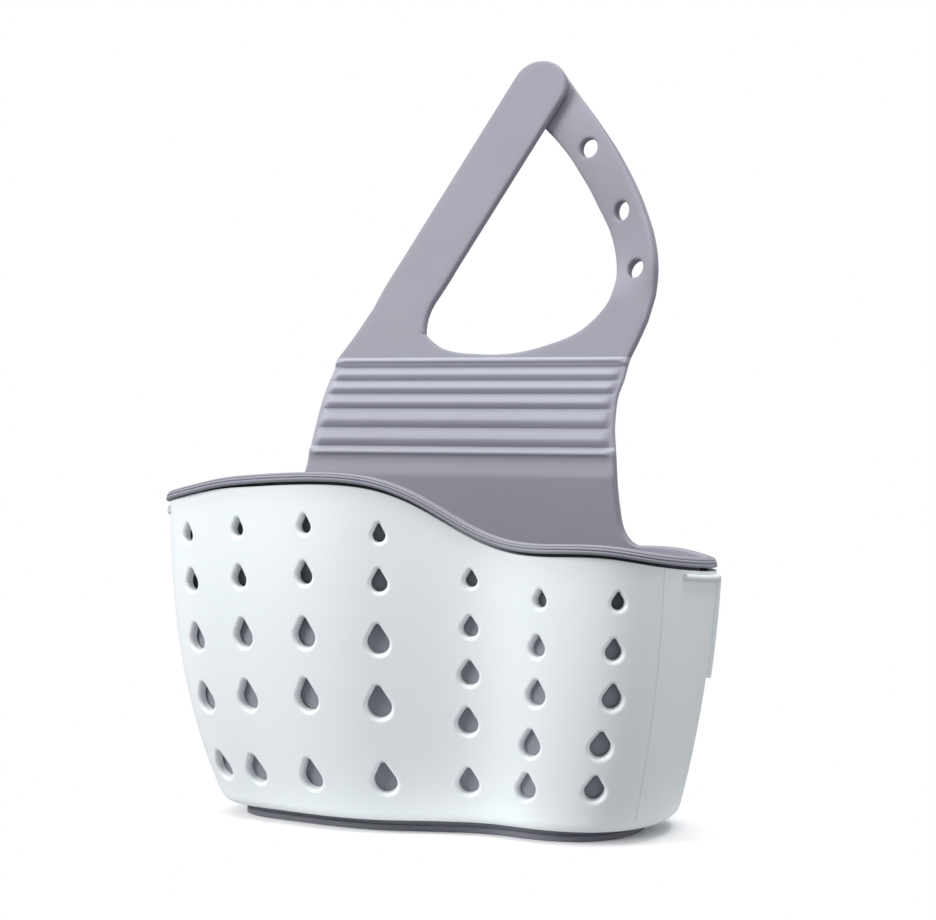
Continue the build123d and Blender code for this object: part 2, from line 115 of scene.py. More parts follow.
# Rim line: x and height at y = 0, before the rim's lift and droop
RIM_LINE = [
    (-80.0, 77.1), (-70.0, 77.5), (-60.0, 77.2), (-48.0, 78.1), (-36.0, 79.0),
    (-24.0, 79.5), (-14.0, 79.4), (-6.0, 78.35), (2.0, 75.5), (9.5, 71.4),
    (16.5, 67.65), (24.0, 65.1), (32.0, 64.1), (42.0, 64.1), (52.0, 63.7),
    (60.0, 62.4), (70.0, 60.7), (80.0, 57.6),
]
# Drop holes: x and height of the middle, width and length
DROPS = [
    (-58.4, 70.1, 3.0, 4.2), (-57.5, 58.7, 3.9, 5.3), (-56.9, 44.8, 4.9, 6.6),
    (-55.6, 30.0, 5.4, 7.2), (-52.7, 13.2, 5.3, 7.1),
    (-42.6, 72.1, 3.0, 4.2), (-42.4, 60.3, 3.9, 5.3), (-42.0, 46.7, 5.2, 7.0),
    (-42.1, 31.6, 5.5, 7.5), (-42.1, 13.2, 5.5, 7.4),
    (-23.2, 73.4, 3.1, 4.4), (-23.5, 61.9, 4.0, 5.4), (-24.1, 47.8, 5.4, 7.3),
    (-24.6, 32.9, 5.8, 8.0), (-25.6, 13.5, 5.7, 7.9),
    (-5.0, 71.6, 3.1, 4.4), (-5.2, 60.5, 3.9, 5.4), (-5.9, 46.7, 5.4, 7.2),
    (-6.5, 31.8, 5.9, 8.0), (-6.6, 13.5, 5.7, 7.8),
    (15.8, 61.2, 3.0, 4.0), (15.3, 50.0, 3.8, 4.9), (14.6, 39.1, 4.6, 5.9),
    (13.5, 27.7, 5.0, 6.5), (12.7, 13.3, 4.9, 6.5),
    (33.8, 57.4, 3.1, 4.1), (32.6, 46.5, 3.9, 5.1), (31.8, 35.6, 4.8, 6.2),
    (29.6, 23.7, 5.2, 6.7), (27.7, 13.3, 5.1, 6.6),
    (52.3, 57.3, 3.2, 4.2), (50.9, 46.2, 4.0, 5.2), (50.1, 35.4, 4.8, 6.2),
    (46.8, 24.1, 5.2, 6.6), (44.6, 13.8, 5.0, 6.5),
]


# Curves and small geometry helpers
def natural_spline(points):
    """A smooth curve through points: a function of the length along it, and the whole length."""
    p = np.array(points, float)
    t = np.r_[0, np.cumsum(np.hypot(*np.diff(p, axis=0).T))]
    n = len(t)
    h = np.diff(t)
    a = np.zeros((n, n))
    b = np.zeros((n, 2))
    a[0, 0] = a[-1, -1] = 1
    for i in range(1, n - 1):
        a[i, i - 1 : i + 2] = h[i - 1], 2 * (h[i - 1] + h[i]), h[i]
        b[i] = 6 * ((p[i + 1] - p[i]) / h[i] - (p[i] - p[i - 1]) / h[i - 1])
    m = np.linalg.solve(a, b)

    def at(s):
        s = np.clip(np.asarray(s, float), 0, t[-1])
        i = np.clip(np.searchsorted(t, s, side="right") - 1, 0, n - 2)
        w = (s - t[i])[..., None]
        g = (t[i + 1] - s)[..., None]
        hh = h[i][..., None]
        return (
            (m[i] * g**3 + m[i + 1] * w**3) / (6 * hh)
            + (p[i] / hh - m[i] * hh / 6) * g
            + (p[i + 1] / hh - m[i + 1] * hh / 6) * w
        )

    return at, t[-1]


plan_at, CURVE = natural_spline([(x * HALF_WIDTH, y * DEPTH) for x, y in PLAN])
HALF_BACK = PLAN[-1][0] * HALF_WIDTH
ROUND = CURVE + 2 * HALF_BACK
rim_at, rim_length = natural_spline(RIM_LINE)
rim_samples = rim_at(np.linspace(0, rim_length, 600))


def rim_z(p):
    """Height of the rim's lower edge over points of x, y."""
    line = np.interp(p[..., 0], rim_samples[:, 0], rim_samples[:, 1])
    droop = RIM_DROOP * (np.clip(DROOP_X - p[..., 0], 0, DROOP_LIMIT) / DROOP_RUN) ** 2
    return line + RIM_LIFT - droop - RIM_FALL * p[..., 1]


def shares(u):
    """Plan shares at u, the way round the basket in millimetres from the middle of the back."""
    u = np.mod(np.asarray(u, float), ROUND)
    c = plan_at(u - HALF_BACK)
    xs = c[..., 0] / HALF_WIDTH
    ys = c[..., 1] / DEPTH
    first = u < HALF_BACK
    last = u > HALF_BACK + CURVE
    xs = np.where(first, -u / HALF_WIDTH, xs)
    xs = np.where(last, (ROUND - u) / HALF_WIDTH, xs)
    ys = np.where(first | last, 0.0, ys)
    return xs, ys


def taper(z):
    return np.clip(1 - np.asarray(z, float) / TAPER_HEIGHT, 0, 1) ** TAPER_POWER


def left_gain(z):
    """How much wider the left side is at this height than a mirror of the right side."""
    return LEFT_BULGE + SIDE_TAPER * (taper(z) - np.clip(1 - z / TAPER_HEIGHT, 0, 1) ** LEFT_POWER)


def plan_point(u, z, side, front, back, gain=0.0):
    """A point at u and height z, drawn in at the sides, the front and the back."""
    xs, ys = shares(u)
    x = xs * (HALF_WIDTH - side + gain * (xs < 0))
    y = BACK_Y - back - ys * (DEPTH - front - back)
    return np.stack(np.broadcast_arrays(x, y, z), -1)


def wall(u, z, inset):
    """A point of the tapered wall, drawn in by inset, with the shell's rounded foot edge."""
    z = np.asarray(z, float)
    s = np.clip(1 - (z - SHELL_BOTTOM) / BOTTOM_ROUND, 0, 1)
    extra = BOTTOM_ROUND * (1 - np.sqrt(1 - s * s))
    t = taper(z)
    return plan_point(
        u, z, SIDE_TAPER * t + inset + extra, FRONT_TAPER * t + inset + extra, inset + extra, left_gain(z)
    )


def wall_frame(u, z):
    """Directions along u and z on the wall, and the outward normal."""
    e = 0.02
    pu = (wall(u + e, z, 0) - wall(u - e, z, 0)) / (2 * e)
    pz = (wall(u, z + e, 0) - wall(u, z - e, 0)) / (2 * e)
    n = np.cross(pu, pz)
    n /= np.linalg.norm(n, axis=-1, keepdims=True)
    return pu, pz, n


def smooth(w):
    w = np.clip(w, 0, 1)
    return w * w * (3 - 2 * w)


MIDS = [FOLD_START] + [(a + b) / 2 for a, b in zip(HINGES[:-1], HINGES[1:])] + [FOLD_END]


def lean(p):
    """Flat strap layout to its resting place, bending smoothly over the fold ribs."""
    p = np.array(p, float)
    flat = p[..., 2].copy()
    for i in reversed(range(len(HINGES))):
        angle = LEAN_STEP * smooth((flat - MIDS[i]) / (MIDS[i + 1] - MIDS[i]))
        y = p[..., 1] - STRAP_BACK
        z = p[..., 2] - HINGES[i]
        p[..., 1] = STRAP_BACK + y * np.cos(angle) + z * np.sin(angle)
        p[..., 2] = HINGES[i] - y * np.sin(angle) + z * np.cos(angle)
    return p


def inside(points, loop):
    """True for each point that lies within the closed loop."""
    points = np.asarray(points, float)
    loop = np.asarray(loop, float)
    x, y = points[:, 0], points[:, 1]
    hit = np.zeros(len(points), bool)
    for (x0, y0), (x1, y1) in zip(loop, np.roll(loop, -1, 0)):
        crosses = (y0 > y) != (y1 > y)
        with np.errstate(divide="ignore", invalid="ignore"):
            at = x0 + (y - y0) * (x1 - x0) / (y1 - y0)
        hit ^= crosses & (x < at)
    return hit


def loop_gap(points, loop):
    """Distance of each point from the nearest loop vertex."""
    best = np.full(len(points), np.inf)
    for v in loop:
        best = np.minimum(best, np.hypot(*(points - v).T))
    return best


# Output kind and merging distance of the triangulation
TRIANGLES_INSIDE = 1
MERGE = 1e-5


def fill(loop, holes, extra, margin):
    """Triangles inside loop and outside holes, with extra points where they are clear of the edges."""
    extra = np.asarray(extra, float).reshape(-1, 2)
    keep = inside(extra, loop) & (loop_gap(extra, loop) > margin)
    for hole in holes:
        keep &= ~inside(extra, hole) & (loop_gap(extra, hole) > margin)
    verts = [Vector(v) for v in loop]
    edges = [(i, (i + 1) % len(loop)) for i in range(len(loop))]
    for hole in holes:
        start = len(verts)
        verts += [Vector(v) for v in hole]
        edges += [(start + i, start + (i + 1) % len(hole)) for i in range(len(hole))]
    verts += [Vector(v) for v in extra[keep]]
    out = delaunay_2d_cdt(verts, edges, [], TRIANGLES_INSIDE, MERGE)
    p = np.array([v[:] for v in out[0]])
    tri = np.array([f for f in out[2] if len(f) == 3])
    middle = p[tri].mean(1)
    good = inside(middle, loop)
    for hole in holes:
        good &= ~inside(middle, hole)
    return p, tri[good]


# Welding distance in metres, and the angles from which edges are sharp
WELD = 2e-6
SHARP_ANGLE = 38
STRAP_SHARP_ANGLE = 50


class Mesh:
    """Points in millimetres, faces and wished normals, collected piece by piece into one object."""

    def __init__(self):
        self.verts = []
        self.norms = []
        self.faces = []
        self.count = 0

    def add(self, p, faces, n=None):
        p = np.asarray(p, float).reshape(-1, 3)
        faces = np.asarray(faces)
        self.verts.append(p)
        if n is not None:
            self.norms.append(np.asarray(n, float).reshape(-1, 3))
        self.faces += (faces + self.count).tolist()
        self.count += len(p)

    def grid(self, p, n=None, wrap=False, flip=False):
        """Quads between rows of points; with wrap, each row is closed."""
        p = np.asarray(p, float)
        a, b = p.shape[:2]
        i, j = np.meshgrid(np.arange(a - 1), np.arange(b if wrap else b - 1), indexing="ij")
        i2, j2 = i + 1, (j + 1) % b
        q = np.stack([i * b + j, i2 * b + j, i2 * b + j2, i * b + j2], -1).reshape(-1, 4)
        if flip:
            q = q[:, ::-1]
        self.add(p, q, n)

    def build(self, name, material, body, weld=True, angle=SHARP_ANGLE):
        """Make the object. With wished normals, faces are turned to them; body may be None."""
        me = bpy.data.meshes.new(name)
        points = np.concatenate(self.verts)
        if self.norms:
            wanted = np.concatenate(self.norms)
            for i, face in enumerate(self.faces):
                a, b, c = points[face[0]], points[face[1]], points[face[2]]
                n = np.cross(b - a, c - a)
                if len(face) == 4:
                    n = np.cross(c - a, points[face[3]] - b)
                if n @ (wanted[face[0]] + wanted[face[1]] + wanted[face[2]]) < 0:
                    self.faces[i] = face[::-1]
        me.from_pydata((points * MM).tolist(), [], self.faces)
        me.validate()
        if weld:
            bm = bmesh.new()
            bm.from_mesh(me)
            bmesh.ops.remove_doubles(bm, verts=bm.verts, dist=WELD)
            bmesh.ops.recalc_face_normals(bm, faces=bm.faces)
            bm.to_mesh(me)
            bm.free()
        me.shade_smooth()
        if self.norms:
            me.normals_split_custom_set_from_vertices(np.concatenate(self.norms).tolist())
        else:
            me.set_sharp_from_angle(angle=math.radians(angle))
        me.materials.append(material)
        obj = bpy.data.objects.new(name, me)
        bpy.context.scene.collection.objects.link(obj)
        if body:
            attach(obj, body)
        return obj


# Materials
BROAD_SCALE = 26
WEAR_SCALE = 140
NOISE_RANGE = (0.3, 0.7)
FINE_ROUGHNESS = 0.6
WAVE = (0.25, 0.00015)
GRAIN_DEPTH = 0.00004


def new_material(name):
    m = bpy.data.materials.new(name)
    m.use_nodes = True
    nt = m.node_tree
    return m, nt, nt.nodes["Principled BSDF"]


def noise(nt, scale, detail, rough=0.5):
    coord = nt.nodes.new("ShaderNodeTexCoord")
    n = nt.nodes.new("ShaderNodeTexNoise")
    n.inputs["Scale"].default_value = scale
    n.inputs["Detail"].default_value = detail
    n.inputs["Roughness"].default_value = rough
    nt.links.new(coord.outputs["Object"], n.inputs["Vector"])
    return n


def ramp(nt, source, low, high, a, b):
    r = nt.nodes.new("ShaderNodeValToRGB")
    r.color_ramp.elements[0].position = low
    r.color_ramp.elements[1].position = high
    r.color_ramp.elements[0].color = a
    r.color_ramp.elements[1].color = b
    nt.links.new(source, r.inputs["Fac"])
    return r


def bump(nt, bsdf, heights):
    """Chained bumps from source, strength and distance in metres."""
    last = None
    for source, strength, distance in heights:
        b = nt.nodes.new("ShaderNodeBump")
        b.inputs["Strength"].default_value = strength
        b.inputs["Distance"].default_value = distance
        nt.links.new(source, b.inputs["Height"])
        if last:
            nt.links.new(last.outputs["Normal"], b.inputs["Normal"])
        last = b
    nt.links.new(last.outputs["Normal"], bsdf.inputs["Normal"])


def plastic(name, low, high, rough_range, grain, grain_scale, specular):
    """Moulded plastic or rubber: faint colour and gloss changes, soft waves and a fine grain."""
    m, nt, bsdf = new_material(name)
    broad = noise(nt, BROAD_SCALE, 3)
    fine = noise(nt, grain_scale, 5, FINE_ROUGHNESS)
    wear = noise(nt, WEAR_SCALE, 4, FINE_ROUGHNESS)
    colour = ramp(nt, broad.outputs["Fac"], *NOISE_RANGE, (*low, 1), (*high, 1))
    nt.links.new(colour.outputs["Color"], bsdf.inputs["Base Color"])
    smoother, rougher = ((r, r, r, 1) for r in rough_range)
    rough = ramp(nt, wear.outputs["Fac"], *NOISE_RANGE, smoother, rougher)
    nt.links.new(rough.outputs["Color"], bsdf.inputs["Roughness"])
    bsdf.inputs["Specular IOR Level"].default_value = specular
    bump(nt, bsdf, [(broad.outputs["Fac"], *WAVE), (fine.outputs["Fac"], grain, GRAIN_DEPTH)])
    return m


SHELL_GRAIN = (0.25, 1500)
RUBBER_GRAIN = (0.45, 2200)
shell_mat = plastic(
    "mint_white_plastic", (0.765, 0.805, 0.815), (0.785, 0.822, 0.832), (0.4, 0.48), *SHELL_GRAIN, 0.45
)
soft_mat = plastic(
    "lilac_grey_rubber", (0.234, 0.234, 0.273), (0.25, 0.25, 0.291), (0.6, 0.7), *RUBBER_GRAIN, 0.45
)
# Paler copy of the same rubber for the fold ribs' front faces: a painted highlight standing in for the top
# light that catches the ribs.
lit_rib_mat = plastic(
    "lilac_grey_rubber_painted_highlight", (0.34, 0.34, 0.393), (0.362, 0.362, 0.418), (0.62, 0.72), *RUBBER_GRAIN, 0.45
)
# Darker copy of the same rubber for the foot ring: painted shade standing in for the shadow under the shell.
shaded_foot_mat = plastic(
    "lilac_grey_rubber_painted_shade", (0.14, 0.14, 0.165), (0.155, 0.155, 0.182), (0.55, 0.65), *RUBBER_GRAIN, 0.4
)


# Outer shell: skin with drop holes and softly rounded hole edges
EDGE = 1.0
DROP_TIP_SHARE = 0.28
DROP_STEP = 0.5
DROP_LONG_SIDE = 1.0
SKIN_STEP = 2.4
SKIN_TOP = 84.0
SKIN_MARGIN = 0.7
AROUND = 300
UP_THE_SEAM = 30
FRONT_SPAN = (0.12, 0.92)
FRONT_LIMIT = 0.45
MID_HEIGHT = 70.0
HALF_PI = math.pi / 2


def drop_loop(width, length, count=34):
    """Points round a drop with its point up, and the outward direction at each."""
    r = width / 2
    tip = DROP_TIP_SHARE * r
    low = -length / 2 + r
    high = length / 2 - tip
    lean_in = (r - tip) / (high - low)
    turn = math.asin(lean_in)
    pts = []
    for a in np.linspace(math.pi - turn, 2 * math.pi + turn, count * 2 // 3):
        pts.append((r * math.cos(a), low + r * math.sin(a), math.cos(a), math.sin(a)))
    for a in np.linspace(turn, math.pi - turn, count // 3):
        pts.append((tip * math.cos(a), high + tip * math.sin(a), math.cos(a), math.sin(a)))
    out = []
    for i, p in enumerate(pts):
        out.append(p)
        q = pts[(i + 1) % len(pts)]
        gap = math.hypot(q[0] - p[0], q[1] - p[1])
        if gap > DROP_LONG_SIDE:
            steps = int(gap / DROP_STEP)
            for k in range(1, steps):
                w = k / steps
                out.append(tuple(p[j] * (1 - w) + q[j] * w for j in range(4)))
    return np.array(out)


def find_u(x, z):
    """The way round at which the front of the wall is at x, at height z."""
    u = HALF_BACK + np.linspace(*FRONT_SPAN, 3000) * CURVE
    p = wall(u, z, 0)
    front = p[:, 1] < BACK_Y - FRONT_LIMIT * DEPTH
    return u[front][np.argmin(np.abs(p[front, 0] - x))]


def top_z(u):
    """Height of the shell's top edge, just under the rim."""
    z = np.full(np.shape(u), MID_HEIGHT)
    for _ in range(4):
        p = wall(u, z, 0)
        widening = smooth((p[..., 0] - LEFT_GAP_X) / LEFT_GAP_RUN)
        z = rim_z(p) - RIM_GAP * (LEFT_GAP_SHARE + (1 - LEFT_GAP_SHARE) * widening)
    return z


shell = Mesh()
us = np.linspace(0, ROUND, AROUND)
low_z = SHELL_BOTTOM + BOTTOM_ROUND
tops = top_z(us)
boundary = [(u, low_z) for u in us]
boundary += [(us[-1], z) for z in np.linspace(low_z, tops[-1], UP_THE_SEAM)[1:]]
boundary += [(u, z) for u, z in zip(us[::-1][1:], tops[::-1][1:])]
boundary += [(us[0], z) for z in np.linspace(tops[0], low_z, UP_THE_SEAM)[1:-1]]
boundary = np.array(boundary)
half_step = SKIN_STEP / 2
grid_heights = np.arange(low_z + half_step, SKIN_TOP, SKIN_STEP)
gu, gz = np.meshgrid(np.arange(half_step, ROUND, SKIN_STEP), grid_heights)
gu = gu + half_step * (np.arange(len(grid_heights)) % 2)[:, None]
loops = []
for x, z, width, length in DROPS:
    u0 = find_u(x, z)
    pu, pz, _ = wall_frame(np.array([u0]), np.array([z]))
    loops.append((u0, z, np.linalg.norm(pu), np.linalg.norm(pz), drop_loop(width, length)))


def drop_uz(item, grow):
    """The drop's outline on the wall as u and z, made larger all round by grow."""
    u0, z0, su, sz, loop = item
    grown = loop[:, :2] + loop[:, 2:] * grow
    return np.column_stack([u0 + grown[:, 0] / su, z0 + grown[:, 1] / sz])


grid_points = np.column_stack([gu.ravel(), gz.ravel()])
p, tri = fill(boundary, [drop_uz(item, EDGE) for item in loops], grid_points, SKIN_MARGIN)
skin = wall(p[:, 0], p[:, 1], 0)
_, _, skin_n = wall_frame(p[:, 0], p[:, 1])
shell.add(skin, tri, skin_n)
shell.add(skin - SHELL_WALL * skin_n, tri[:, ::-1], -skin_n)
for item in loops:
    rows, norms = [], []
    steps = [(a, EDGE * (1 - math.sin(a)), EDGE * (1 - math.cos(a))) for a in np.linspace(0, HALF_PI, 6)]
    steps.append((HALF_PI, 0.0, SHELL_WALL))
    for a, grow, deep in steps:
        uz = drop_uz(item, grow)
        pu, pz, n = wall_frame(uz[:, 0], uz[:, 1])
        loop = item[4]
        side = loop[:, 2:3] * pu / np.linalg.norm(pu, axis=1, keepdims=True)
        side = side + loop[:, 3:4] * pz / np.linalg.norm(pz, axis=1, keepdims=True)
        rows.append(wall(uz[:, 0], uz[:, 1], 0) - deep * n)
        norms.append(math.cos(a) * n - math.sin(a) * side)
    shell.grid(np.array(rows), np.array(norms), wrap=True, flip=True)
    outer = drop_uz(item, EDGE)
    _, _, n = wall_frame(outer[:, 0], outer[:, 1])
    back_rows = np.array([rows[-1], wall(outer[:, 0], outer[:, 1], 0) - SHELL_WALL * n])
    shell.grid(back_rows, np.array([-n, -n]), wrap=True, flip=True)

# Rounded foot edge, bottom lip and top edge
FOOT_GAIN = 1.4
FOOT_SHORT = 2.2
FOOT_SHORT_SHARE = 0.3
FOOT_SHORT_RUN_SHARE = 0.6
LIP_HEIGHT = 2.0
ABOVE_EDGE = 0.1
LIP_NORMAL_HEIGHT = 20.0
foot_side = SIDE_TAPER * taper(SHELL_BOTTOM) + FOOT_INSET
foot_front = FRONT_TAPER * taper(SHELL_BOTTOM) + FOOT_INSET


def foot_point(u, z, draw):
    """A point of the foot's outer face, drawn in by draw. The foot ends shorter on the right."""
    short = FOOT_SHORT * smooth((shares(u)[0] - FOOT_SHORT_SHARE) / FOOT_SHORT_RUN_SHARE)
    return plan_point(u, z, foot_side + short + draw, foot_front + draw, FOOT_INSET + draw, FOOT_GAIN)


rows, norms = [], []
_, _, edge_n = wall_frame(us, np.full(us.shape, low_z + ABOVE_EDGE))
for a in np.linspace(0, HALF_PI, 8):
    z = SHELL_BOTTOM + BOTTOM_ROUND * (1 - math.sin(a))
    rows.append(wall(us, np.full(us.shape, z), 0))
    n = edge_n * math.cos(a) + np.array([0, 0, -1.0]) * math.sin(a)
    norms.append(n / np.linalg.norm(n, axis=1, keepdims=True))
shell.grid(np.array(rows), np.array(norms), flip=True)
down = np.tile([0, 0, -1.0], (2, len(us), 1))
lip = np.array([foot_point(us, z, -FIT_GAP) for z in (SHELL_BOTTOM, SHELL_BOTTOM + LIP_HEIGHT)])
shell.grid(np.array([rows[-1], lip[0]]), down, flip=True)
_, _, side_n = wall_frame(us, np.full(us.shape, LIP_NORMAL_HEIGHT))
shell.grid(lip, np.array([-side_n, -side_n]), flip=True)
shell.grid(np.array([lip[1], wall(us, np.full(us.shape, low_z), SHELL_WALL)]), -down, flip=True)
top_out = wall(us, tops, 0)
_, _, top_n = wall_frame(us, tops)
shell.grid(np.array([top_out, top_out - SHELL_WALL * top_n]), -down)

# Beads at the back corners and the crease in front of the right one
BOXY = 0.4
BEAD_SINK = 0.05
BEAD_FRONT_Y = -29.5
BEAD_POST_Y = -5.5
BEAD_CORNER = 1.6
BEAD_FIRST_DOWN = 0.8
SIDE_SHARE = 0.6
CREASE_SHARES = (0.908, 0.83)
CREASE_TOP_GAP = 0.2
CREASE_BOTTOM = 5.6


def surface_bead(mesh, path, width, height, count=7):
    """A rounded bead standing on the shell's skin along a path of u and z."""
    path = np.array(path, float)
    base = wall(path[:, 0], path[:, 1], 0)
    _, _, n = wall_frame(path[:, 0], path[:, 1])
    run = np.gradient(base, axis=0)
    across = np.cross(run, n)
    across /= np.linalg.norm(across, axis=1, keepdims=True)
    rows, norms = [], []
    for a in np.linspace(0, math.pi, count):
        c, s = math.cos(a), math.sin(a)
        boxy_c = math.copysign(abs(c) ** BOXY, c)
        rows.append(base + across * (width / 2) * boxy_c + n * (height * s**BOXY - BEAD_SINK))
        k = across * c * height + n * s * width / 2
        norms.append(k / np.linalg.norm(k, axis=1, keepdims=True))
    mesh.grid(np.array(rows).transpose(1, 0, 2), np.array(norms).transpose(1, 0, 2))
    for end in (0, -1):
        loop = np.array([r[end] for r in rows])
        face = [list(range(count))] if end else [list(range(count))[::-1]]
        outward = run[end] * (1 if end else -1) / np.linalg.norm(run[end])
        mesh.add(loop, face, np.tile(outward, (count, 1)))


def bead_path(side, drop, low):
    """Along under the rim on one side, round a corner and down to the height low."""
    u = np.linspace(HALF_BACK, HALF_BACK + CURVE, 4000)
    p = wall(u, MID_HEIGHT, 0)
    on_side = p[:, 0] * side > SIDE_SHARE * HALF_WIDTH
    on_side &= (p[:, 1] > BEAD_FRONT_Y) & (p[:, 1] < BEAD_POST_Y)
    found = u[on_side]
    if side < 0:
        found = found[::-1]
    line = np.linspace(found[0], found[-1], 40)
    z = top_z(line) - drop
    path = [(a, b) for a, b in zip(line, z)]
    corner = path[-1]
    for a in np.linspace(0, HALF_PI, 7)[1:-1]:
        outward = BEAD_CORNER * math.sin(a)
        downward = BEAD_CORNER * (1 - math.cos(a))
        path.append((corner[0] + side * outward, corner[1] - downward))
    last = path[-1]
    path += [(last[0], z) for z in np.linspace(last[1] - BEAD_FIRST_DOWN, low, 24)]
    return path


surface_bead(shell, bead_path(side=1, drop=1.45, low=36.6), width=1.35, height=1.2)
surface_bead(shell, bead_path(side=-1, drop=1.9, low=52.5), width=1.7, height=0.8)
u = np.linspace(HALF_BACK + CURVE / 2, HALF_BACK + CURVE, 3000)
crease_u = u[np.argmin(np.hypot(*(np.array(shares(u)) - np.array(CREASE_SHARES)[:, None])))]
crease_top = float(top_z(np.array([crease_u]))[0]) - CREASE_TOP_GAP
crease = [(crease_u, z) for z in np.linspace(crease_top, CREASE_BOTTOM, 50)]
surface_bead(shell, crease, width=0.9, height=0.2)
shell_obj = shell.build("shell_skin", shell_mat, "shell", weld=False)
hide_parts("outer_shell")

# Basket: tub walls, floor and ridged rim
RIM_SHIFT = -0.5
RIM_LEFT_SHARE = 0.53
RIM_RIGHT_SHARE = 0.85
RIM_RIGHT_DRAW = 1.2
RIM_DRAW_SHARE = 0.5
RIM_DRAW_RUN_SHARE = 0.4
RIM_INSIDE = 2.6
TUB_ROUND = 1.6
TUB_LEVELS = 34
DEEPER = 1.6
DEEPER_HEIGHT = 42.0
DEEPER_RUN = 24.0
DRAIN_PITCH_X = 12.0
DRAIN_PITCH_Y = 9.5
DRAIN_MIDDLE_Y = -8.5
DRAIN_MARGIN = 1.0
basket = Mesh()
u_loop = np.linspace(0, ROUND, 420, endpoint=False)


def rim_point(u, out, rise):
    """A point of the rim, out from the wall line and above the rim line."""
    xs = shares(u)[0]
    overhang = float(np.clip((out + RIM_INSIDE) / RIM_INSIDE, 0, 1))
    inward = float(np.clip(-out / RIM_INSIDE, 0, 1))
    share = np.where(xs < 0, RIM_LEFT_SHARE, RIM_RIGHT_SHARE) if out > 0 else 1.0
    draw = RIM_RIGHT_DRAW * smooth((xs - RIM_DRAW_SHARE) / RIM_DRAW_RUN_SHARE)
    side = draw * overhang - out * share
    p = plan_point(u, np.zeros(np.shape(u)), side, -out, max(0.0, -out), LEFT_BULGE * inward)
    p[..., 0] += RIM_SHIFT * overhang
    p[..., 2] = rim_z(p) + rise
    return p


def tub_point(z, inset):
    """The tub's wall at height z, inset from the shell's outer face."""
    t = taper(z)
    return plan_point(u_loop, z, SIDE_TAPER * t + inset, FRONT_TAPER * t + inset, inset, left_gain(z))


# Section of the rim with its three ridges: out from the wall line, and up
profile = [
    (-2.6, 0.0), (-1.0, 0.0), (0.7, 0.0), (1.15, 0.07), (1.4, 0.24), (1.5, 0.48), (1.46, 0.7),
    (1.3, 0.84), (1.08, 0.9), (1.07, 0.98), (1.24, 1.06), (1.3, 1.22), (1.22, 1.4), (1.0, 1.52),
    (0.74, 1.56), (0.72, 1.64), (0.82, 1.72), (0.76, 1.88), (0.52, 2.02), (0.2, 2.08), (-0.1, 2.05),
    (-0.2, 2.1), (-0.5, 2.18), (-1.2, 2.2), (-2.4, 2.2), (-3.2, 2.16), (-3.7, 1.98), (-4.0, 1.7), (-4.1, 1.3),
]
rows = [rim_point(u_loop, out, rise) for out, rise in profile]
inner_top = rows[-1][:, 2]
for w in np.linspace(0, 1, TUB_LEVELS)[1:]:
    rows.append(tub_point(inner_top * (1 - w) + (FLOOR_TOP + TUB_ROUND) * w, TUB_IN))
for a in np.linspace(0, HALF_PI, 6)[1:]:
    level = np.full(u_loop.shape, FLOOR_TOP + TUB_ROUND * (1 - math.sin(a)))
    rows.append(tub_point(level, TUB_IN + TUB_ROUND * (1 - math.cos(a))))
basket.grid(np.array(rows), wrap=True)
outer_top = rim_point(u_loop, -TUB_OUT, 0.0)[:, 2]
outer_rows = []
for w in np.linspace(0, 1, 30):
    z = outer_top * (1 - w) + TUB_BOTTOM * w
    outer_rows.append(tub_point(z, TUB_OUT + DEEPER * smooth((z - DEEPER_HEIGHT) / DEEPER_RUN)))
basket.grid(np.array(outer_rows), wrap=True, flip=True)

# Floor with drain holes
round_turn = np.linspace(0, 2 * math.pi, 32, endpoint=False)
drain = DRAIN_RADIUS * np.column_stack([np.cos(round_turn), np.sin(round_turn)])
drains = [
    drain + (DRAIN_PITCH_X * i, DRAIN_MIDDLE_Y + DRAIN_PITCH_Y * j)
    for i in range(-3, 4)
    for j in range(-1, 2)
]


def at_height(points, z):
    return np.column_stack([points, np.full(len(points), z)])


p, tri = fill(rows[-1][:, :2], drains, [], DRAIN_MARGIN)
basket.add(at_height(p, FLOOR_TOP), tri)
p, tri = fill(outer_rows[-1][:, :2], drains, [], DRAIN_MARGIN)
basket.add(at_height(p, TUB_BOTTOM), tri[:, ::-1])
for d in drains:
    basket.grid(np.array([at_height(d, z) for z in (FLOOR_TOP, TUB_BOTTOM)]), wrap=True)
basket_obj = basket.build("basket_skin", soft_mat, "basket")
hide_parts("inner_basket")

# Foot ring with its groove: section as distance drawn in and height
foot = Mesh()
foot_profile = [
    (FOOT_WALL, TUB_BOTTOM), (FOOT_WALL, 0.25), (2.75, 0.0), (0.35, 0.0), (0.1, 0.12), (0.0, 0.4),
    (0.0, 1.25), (0.12, 1.42), (0.42, 1.55), (0.42, 1.72), (0.12, 1.85), (0.0, 2.0), (0.0, TUB_BOTTOM),
]
foot.grid(np.array([foot_point(u_loop, z, draw) for draw, z in foot_profile]), wrap=True)
# The foot ring is the basket's rubber darkened: painted shade under the shell.
foot.build("foot_ring", shaded_foot_mat, "basket")


